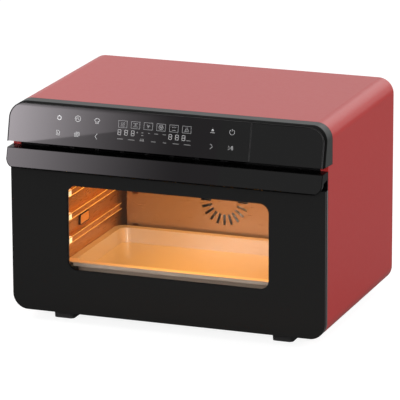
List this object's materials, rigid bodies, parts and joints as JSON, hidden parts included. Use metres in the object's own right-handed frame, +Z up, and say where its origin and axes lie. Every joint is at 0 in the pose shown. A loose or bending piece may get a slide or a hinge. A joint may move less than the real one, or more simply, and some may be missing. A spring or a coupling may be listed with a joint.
{
  "type": "countertop steam oven",
  "caption": "Rounded box-shaped worktop steam oven with a drop-down glass door under a full-width handle lip, a leaning black control panel and a slide-out water tank.",
  "frame": {"origin": "on the worktop under the middle of the oven's bounding box", "axes": "+X to the oven's right seen from the front, +Y to the rear (the door faces -Y), +Z up"},
  "size_m": [0.5, 0.36, 0.339],
  "materials": {
    "casing_paint": "satin red enamel on sheet steel",
    "dark_moulding": "fine satin moulding",
    "panel_print": "printed ink",
    "black_glass": "black printed glass, polished",
    "door_glass": "black print round a clear window, polished",
    "clear_glass": "clear, polished",
    "inner_panel_enamel": "grey enamel",
    "cavity_steel": "brushed stainless sheet",
    "tray_steel": "stainless sheet",
    "zinc_sheet": "zinc coated sheet",
    "black_steel": "black baked coating",
    "hinge_steel": "zinc plated steel",
    "screw_steel": "zinc plated, recessed",
    "foot_rubber": "moulded rubber",
    "seal_silicone": "soft silicone",
    "hose_silicone": "translucent silicone",
    "blanket": "felted mineral wool",
    "grey_moulding": "moulded",
    "fan_aluminium": "pressed sheet",
    "wheel_moulding": "moulded",
    "motor_steel": "plated can",
    "element_steel": "heat darkened tube",
    "lamp_ceramic": "glazed ceramic",
    "probe_steel": "stainless tube",
    "board": "circuit board",
    "filter_can": "drawn can",
    "clear_tank": "clear moulding",
    "generator_cast": "cast"
  },
  "bodies": {
    "oven": {"outer_casing": "casing_paint", "control_trim": "dark_moulding", "control_glass": "black_glass", "lamp_cover": "clear_glass", "cavity_liner": "cavity_steel", "fan_cover": "cavity_steel", "rack_rail_left": "cavity_steel", "rack_rail_right": "cavity_steel", "bottom_plate": "zinc_sheet", "rear_panel": "zinc_sheet", "deck_plate": "zinc_sheet", "front_frame": "black_steel", "hinge_brackets": "hinge_steel", "door_springs": "hinge_steel", "rear_screws": "screw_steel", "feet": "foot_rubber", "door_seal": "seal_silicone", "supply_hose": "hose_silicone", "feed_hose": "hose_silicone", "insulation": "blanket", "rear_spacers": "grey_moulding", "cord_gland": "grey_moulding", "air_duct": "grey_moulding", "blower_housing": "grey_moulding", "tank_sleeve": "grey_moulding", "tank_catch": "grey_moulding", "tank_valve": "wheel_moulding", "fan_motor": "motor_steel", "blower_motor": "motor_steel", "pump": "motor_steel", "ring_heater": "element_steel", "grill_heater": "element_steel", "lamp_holder": "lamp_ceramic", "temperature_probe": "probe_steel", "thermal_cutout": "probe_steel", "steam_nozzle": "probe_steel", "power_board": "board", "touch_board": "board", "display_module": "board", "mains_filter": "filter_can", "steam_generator": "generator_cast"},
    "door": {"door_outer_glass": "door_glass", "door_frame": "dark_moulding", "door_inner_panel": "inner_panel_enamel", "door_inner_glass": "clear_glass", "door_handle": "dark_moulding", "handle_glass": "black_glass", "door_screws": "screw_steel", "hinge_arms": "hinge_steel", "hinge_pins": "hinge_steel"},
    "tank": {"water_tank": "clear_tank", "tank_lid": "clear_tank", "tank_seal": "seal_silicone", "tank_front": "dark_moulding", "tank_front_glass": "black_glass"},
    "tray": {"baking_tray": "tray_steel"},
    "hot_fan": {"convection_fan": "fan_aluminium"},
    "cooling_wheel": {"blower_wheel": "wheel_moulding"}
  },
  "joints": [
    {"name": "door_hinge", "type": "hinge", "parent": "oven", "child": "door", "pos_m": [0, -0.1514, 0.0191], "axis": [1, 0, 0], "range_deg": [0, 85], "stiffness_Nm_per_rad": 1.5, "springref_deg": -17.19, "deforming": ["door_springs"]},
    {"name": "tank_slide", "type": "slide", "parent": "oven", "child": "tank", "axis": [0, -1, 0], "range_m": [0, 0.19]},
    {"name": "tray_slide", "type": "slide", "parent": "oven", "child": "tray", "axis": [0, -1, 0], "range_m": [0, 0.006]},
    {"name": "convection_spin", "type": "hinge", "parent": "oven", "child": "hot_fan", "pos_m": [0, 0.11, 0.14], "axis": [0, 1, 0], "continuous": true},
    {"name": "blower_spin", "type": "hinge", "parent": "oven", "child": "cooling_wheel", "pos_m": [-0.062, 0.062, 0.27], "axis": [0, 0, 1], "continuous": true}
  ]
}
